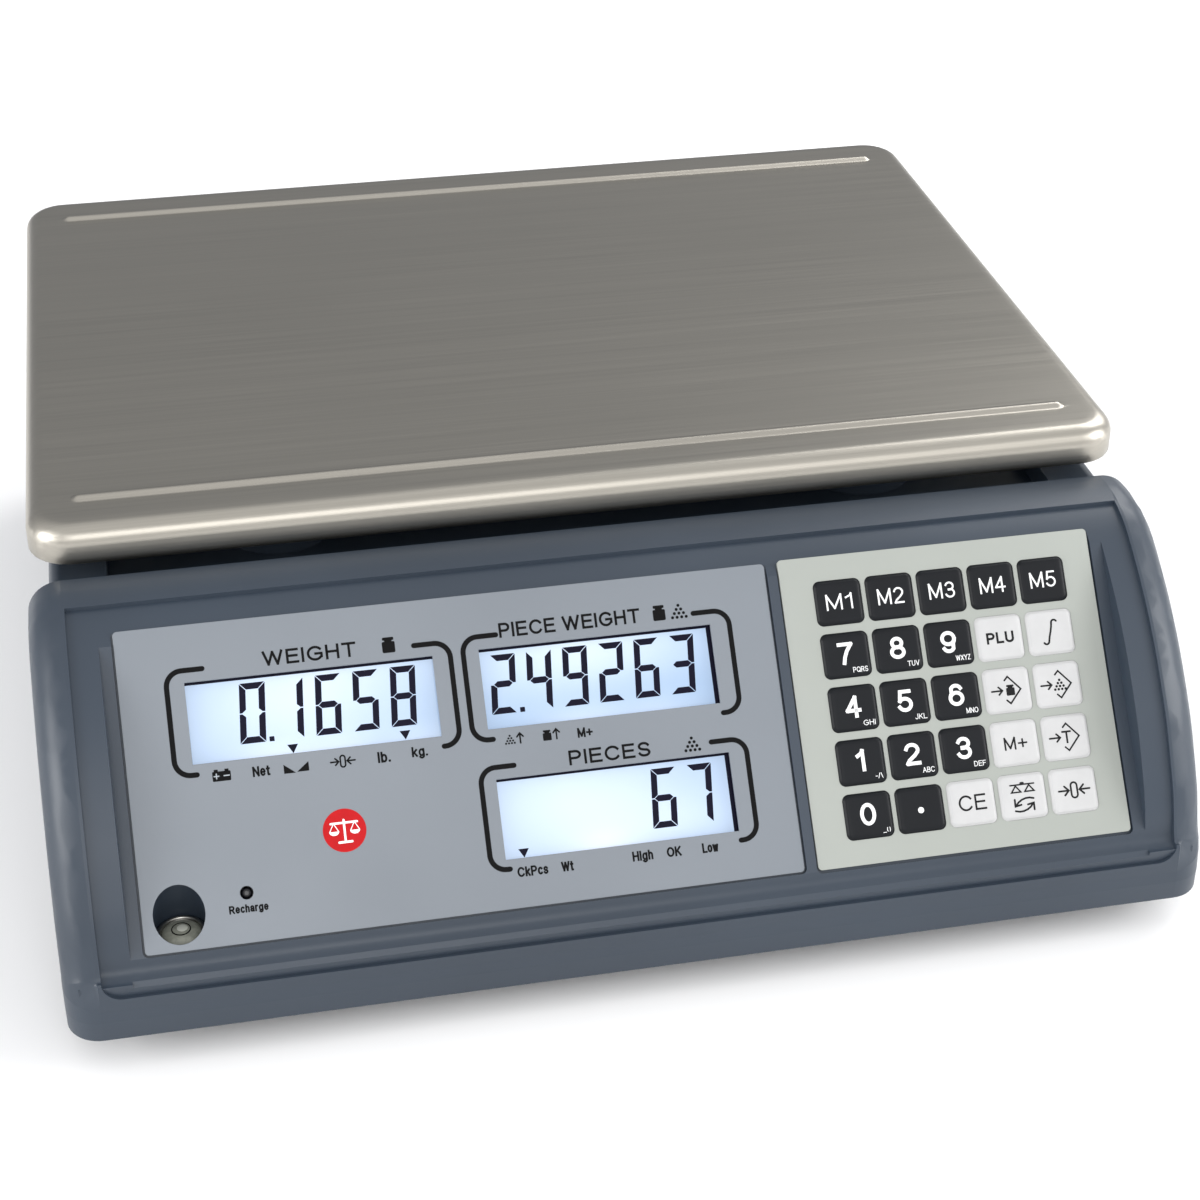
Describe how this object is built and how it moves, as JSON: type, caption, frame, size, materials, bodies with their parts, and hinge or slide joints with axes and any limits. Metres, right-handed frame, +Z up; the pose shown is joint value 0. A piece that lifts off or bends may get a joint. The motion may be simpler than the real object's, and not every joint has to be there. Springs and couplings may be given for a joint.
{
  "type": "counting scale",
  "caption": "Bench counting scale with a stainless pan on a load cell carrier, sloping console with three backlit readouts and a membrane keypad, and screw levelling feet.",
  "frame": {"origin": "centre of the footprint on the bench plane under the feet", "axes": "+Z up, +X to the operator's right, +Y from the operator's console to the back"},
  "size_m": [0.2966, 0.302, 0.108],
  "materials": {
    "housing_plastic": "fine moulded grain, slate blue",
    "base_plastic": "fine moulded grain, darker",
    "pan_steel": "satin brushed along the width",
    "cast_alloy": "as cast, machined pads",
    "cell_alloy": "clear anodised",
    "plated_steel": "zinc plated",
    "strap_steel": "plated sheet",
    "black_rubber": "soft matt",
    "display_film": "fine matt printed film, silver grey",
    "keypad_film": "fine matt printed film, pale grey green",
    "key_dark": "embossed film, charcoal with white legends",
    "key_light": "embossed film, white with black legends",
    "membrane": "laminated film circuit",
    "lcd_panel": "backlit display glass in a black frame",
    "circuit_board": "solder mask",
    "level_clear": "clear cup with a dark ring",
    "led_lens": "unlit tinted lens",
    "battery_case": "moulded case",
    "transformer_core": "laminated core with taped winding",
    "black_plastic": "moulded black"
  },
  "bodies": {
    "housing": {"top_cover": "housing_plastic", "rear_socket_panel": "housing_plastic", "base_tray": "base_plastic", "housing_screws": "plated_steel", "load_cell": "cell_alloy", "load_cell_mount": "cast_alloy", "load_cell_hardware": "plated_steel", "display_overlay": "display_film", "lcd_weight": "lcd_panel", "lcd_piece_weight": "lcd_panel", "lcd_pieces": "lcd_panel", "display_board": "circuit_board", "keypad_overlay": "keypad_film", "keypad_membrane": "membrane", "spirit_level": "level_clear", "charge_led": "led_lens", "main_board": "circuit_board", "battery": "battery_case", "battery_strap": "strap_steel", "transformer": "transformer_core", "power_inlet": "black_plastic", "power_switch_body": "black_plastic"},
    "platform": {"pan_carrier": "cast_alloy", "pan_support_pads": "black_rubber", "carrier_bolts": "plated_steel"},
    "pan": {"weighing_pan": "pan_steel"},
    "rocker": {"power_rocker": "black_plastic"},
    "key_m1": {"key_m1": "key_dark"},
    "key_m2": {"key_m2": "key_dark"},
    "key_m3": {"key_m3": "key_dark"},
    "key_m4": {"key_m4": "key_dark"},
    "key_m5": {"key_m5": "key_dark"},
    "key_7": {"key_7": "key_dark"},
    "key_8": {"key_8": "key_dark"},
    "key_9": {"key_9": "key_dark"},
    "key_plu": {"key_plu": "key_light"},
    "key_function": {"key_function": "key_light"},
    "key_4": {"key_4": "key_dark"},
    "key_5": {"key_5": "key_dark"},
    "key_6": {"key_6": "key_dark"},
    "key_unit_weight": {"key_unit_weight": "key_light"},
    "key_sample": {"key_sample": "key_light"},
    "key_1": {"key_1": "key_dark"},
    "key_2": {"key_2": "key_dark"},
    "key_3": {"key_3": "key_dark"},
    "key_m_plus": {"key_m_plus": "key_light"},
    "key_preset_tare": {"key_preset_tare": "key_light"},
    "key_0": {"key_0": "key_dark"},
    "key_point": {"key_point": "key_dark"},
    "key_ce": {"key_ce": "key_light"},
    "key_check_convert": {"key_check_convert": "key_light"},
    "key_zero": {"key_zero": "key_light"},
    "foot_pad_front_left": {"foot_pad_front_left": "black_rubber"},
    "foot_screw_front_left": {"foot_screw_front_left": "plated_steel"},
    "foot_pad_front_right": {"foot_pad_front_right": "black_rubber"},
    "foot_screw_front_right": {"foot_screw_front_right": "plated_steel"},
    "foot_pad_rear_left": {"foot_pad_rear_left": "black_rubber"},
    "foot_screw_rear_left": {"foot_screw_rear_left": "plated_steel"},
    "foot_pad_rear_right": {"foot_pad_rear_right": "black_rubber"},
    "foot_screw_rear_right": {"foot_screw_rear_right": "plated_steel"}
  },
  "joints": [
    {"name": "platform_load", "type": "slide", "parent": "housing", "child": "platform", "axis": [0, 0, 1], "range_m": [-0.0005, 0], "stiffness_N_per_m": 300000, "springref_m": 0.00005, "deforming": ["load_cell"]},
    {"name": "pan_lift", "type": "slide", "parent": "platform", "child": "pan", "axis": [0, 0, 1], "range_m": [0, 0.06]},
    {"name": "rocker_tilt", "type": "hinge", "parent": "housing", "child": "rocker", "pos_m": [0.054, 0.1384, 0.039], "axis": [1, 0, 0], "range_deg": [0, 18]},
    {"name": "key_m1_press", "type": "slide", "parent": "housing", "child": "key_m1", "axis": [0, 0.766, -0.6428], "range_m": [0, 0.0005], "stiffness_N_per_m": 3000, "springref_m": -0.00001},
    {"name": "key_m2_press", "type": "slide", "parent": "housing", "child": "key_m2", "axis": [0, 0.766, -0.6428], "range_m": [0, 0.0005], "stiffness_N_per_m": 3000, "springref_m": -0.00001},
    {"name": "key_m3_press", "type": "slide", "parent": "housing", "child": "key_m3", "axis": [0, 0.766, -0.6428], "range_m": [0, 0.0005], "stiffness_N_per_m": 3000, "springref_m": -0.00001},
    {"name": "key_m4_press", "type": "slide", "parent": "housing", "child": "key_m4", "axis": [0, 0.766, -0.6428], "range_m": [0, 0.0005], "stiffness_N_per_m": 3000, "springref_m": -0.00001},
    {"name": "key_m5_press", "type": "slide", "parent": "housing", "child": "key_m5", "axis": [0, 0.766, -0.6428], "range_m": [0, 0.0005], "stiffness_N_per_m": 3000, "springref_m": -0.00001},
    {"name": "key_7_press", "type": "slide", "parent": "housing", "child": "key_7", "axis": [0, 0.766, -0.6428], "range_m": [0, 0.0005], "stiffness_N_per_m": 3000, "springref_m": -0.00001},
    {"name": "key_8_press", "type": "slide", "parent": "housing", "child": "key_8", "axis": [0, 0.766, -0.6428], "range_m": [0, 0.0005], "stiffness_N_per_m": 3000, "springref_m": -0.00001},
    {"name": "key_9_press", "type": "slide", "parent": "housing", "child": "key_9", "axis": [0, 0.766, -0.6428], "range_m": [0, 0.0005], "stiffness_N_per_m": 3000, "springref_m": -0.00001},
    {"name": "key_plu_press", "type": "slide", "parent": "housing", "child": "key_plu", "axis": [0, 0.766, -0.6428], "range_m": [0, 0.0005], "stiffness_N_per_m": 3000, "springref_m": -0.00001},
    {"name": "key_function_press", "type": "slide", "parent": "housing", "child": "key_function", "axis": [0, 0.766, -0.6428], "range_m": [0, 0.0005], "stiffness_N_per_m": 3000, "springref_m": -0.00001},
    {"name": "key_4_press", "type": "slide", "parent": "housing", "child": "key_4", "axis": [0, 0.766, -0.6428], "range_m": [0, 0.0005], "stiffness_N_per_m": 3000, "springref_m": -0.00001},
    {"name": "key_5_press", "type": "slide", "parent": "housing", "child": "key_5", "axis": [0, 0.766, -0.6428], "range_m": [0, 0.0005], "stiffness_N_per_m": 3000, "springref_m": -0.00001},
    {"name": "key_6_press", "type": "slide", "parent": "housing", "child": "key_6", "axis": [0, 0.766, -0.6428], "range_m": [0, 0.0005], "stiffness_N_per_m": 3000, "springref_m": -0.00001},
    {"name": "key_unit_weight_press", "type": "slide", "parent": "housing", "child": "key_unit_weight", "axis": [0, 0.766, -0.6428], "range_m": [0, 0.0005], "stiffness_N_per_m": 3000, "springref_m": -0.00001},
    {"name": "key_sample_press", "type": "slide", "parent": "housing", "child": "key_sample", "axis": [0, 0.766, -0.6428], "range_m": [0, 0.0005], "stiffness_N_per_m": 3000, "springref_m": -0.00001},
    {"name": "key_1_press", "type": "slide", "parent": "housing", "child": "key_1", "axis": [0, 0.766, -0.6428], "range_m": [0, 0.0005], "stiffness_N_per_m": 3000, "springref_m": -0.00001},
    {"name": "key_2_press", "type": "slide", "parent": "housing", "child": "key_2", "axis": [0, 0.766, -0.6428], "range_m": [0, 0.0005], "stiffness_N_per_m": 3000, "springref_m": -0.00001},
    {"name": "key_3_press", "type": "slide", "parent": "housing", "child": "key_3", "axis": [0, 0.766, -0.6428], "range_m": [0, 0.0005], "stiffness_N_per_m": 3000, "springref_m": -0.00001},
    {"name": "key_m_plus_press", "type": "slide", "parent": "housing", "child": "key_m_plus", "axis": [0, 0.766, -0.6428], "range_m": [0, 0.0005], "stiffness_N_per_m": 3000, "springref_m": -0.00001},
    {"name": "key_preset_tare_press", "type": "slide", "parent": "housing", "child": "key_preset_tare", "axis": [0, 0.766, -0.6428], "range_m": [0, 0.0005], "stiffness_N_per_m": 3000, "springref_m": -0.00001},
    {"name": "key_0_press", "type": "slide", "parent": "housing", "child": "key_0", "axis": [0, 0.766, -0.6428], "range_m": [0, 0.0005], "stiffness_N_per_m": 3000, "springref_m": -0.00001},
    {"name": "key_point_press", "type": "slide", "parent": "housing", "child": "key_point", "axis": [0, 0.766, -0.6428], "range_m": [0, 0.0005], "stiffness_N_per_m": 3000, "springref_m": -0.00001},
    {"name": "key_ce_press", "type": "slide", "parent": "housing", "child": "key_ce", "axis": [0, 0.766, -0.6428], "range_m": [0, 0.0005], "stiffness_N_per_m": 3000, "springref_m": -0.00001},
    {"name": "key_check_convert_press", "type": "slide", "parent": "housing", "child": "key_check_convert", "axis": [0, 0.766, -0.6428], "range_m": [0, 0.0005], "stiffness_N_per_m": 3000, "springref_m": -0.00001},
    {"name": "key_zero_press", "type": "slide", "parent": "housing", "child": "key_zero", "axis": [0, 0.766, -0.6428], "range_m": [0, 0.0005], "stiffness_N_per_m": 3000, "springref_m": -0.00001},
    {"name": "foot_front_left_extend", "type": "slide", "parent": "housing", "child": "foot_pad_front_left", "axis": [0, 0, -1], "range_m": [0, 0.008]},
    {"name": "foot_front_left_turn", "type": "hinge", "parent": "foot_pad_front_left", "child": "foot_screw_front_left", "pos_m": [-0.115, -0.125, 0.003], "axis": [0, 0, -1], "range_deg": [0, 2320]},
    {"name": "foot_front_right_extend", "type": "slide", "parent": "housing", "child": "foot_pad_front_right", "axis": [0, 0, -1], "range_m": [0, 0.008]},
    {"name": "foot_front_right_turn", "type": "hinge", "parent": "foot_pad_front_right", "child": "foot_screw_front_right", "pos_m": [0.115, -0.125, 0.003], "axis": [0, 0, -1], "range_deg": [0, 2320]},
    {"name": "foot_rear_left_extend", "type": "slide", "parent": "housing", "child": "foot_pad_rear_left", "axis": [0, 0, -1], "range_m": [0, 0.008]},
    {"name": "foot_rear_left_turn", "type": "hinge", "parent": "foot_pad_rear_left", "child": "foot_screw_rear_left", "pos_m": [-0.115, 0.125, 0.003], "axis": [0, 0, -1], "range_deg": [0, 2320]},
    {"name": "foot_rear_right_extend", "type": "slide", "parent": "housing", "child": "foot_pad_rear_right", "axis": [0, 0, -1], "range_m": [0, 0.008]},
    {"name": "foot_rear_right_turn", "type": "hinge", "parent": "foot_pad_rear_right", "child": "foot_screw_rear_right", "pos_m": [0.115, 0.125, 0.003], "axis": [0, 0, -1], "range_deg": [0, 2320]}
  ],
  "couplings": [
    {"joint": "foot_front_left_turn", "follows": "foot_front_left_extend", "rad_per_m": 5026.5},
    {"joint": "foot_front_right_turn", "follows": "foot_front_right_extend", "rad_per_m": 5026.5},
    {"joint": "foot_rear_left_turn", "follows": "foot_rear_left_extend", "rad_per_m": 5026.5},
    {"joint": "foot_rear_right_turn", "follows": "foot_rear_right_extend", "rad_per_m": 5026.5}
  ]
}
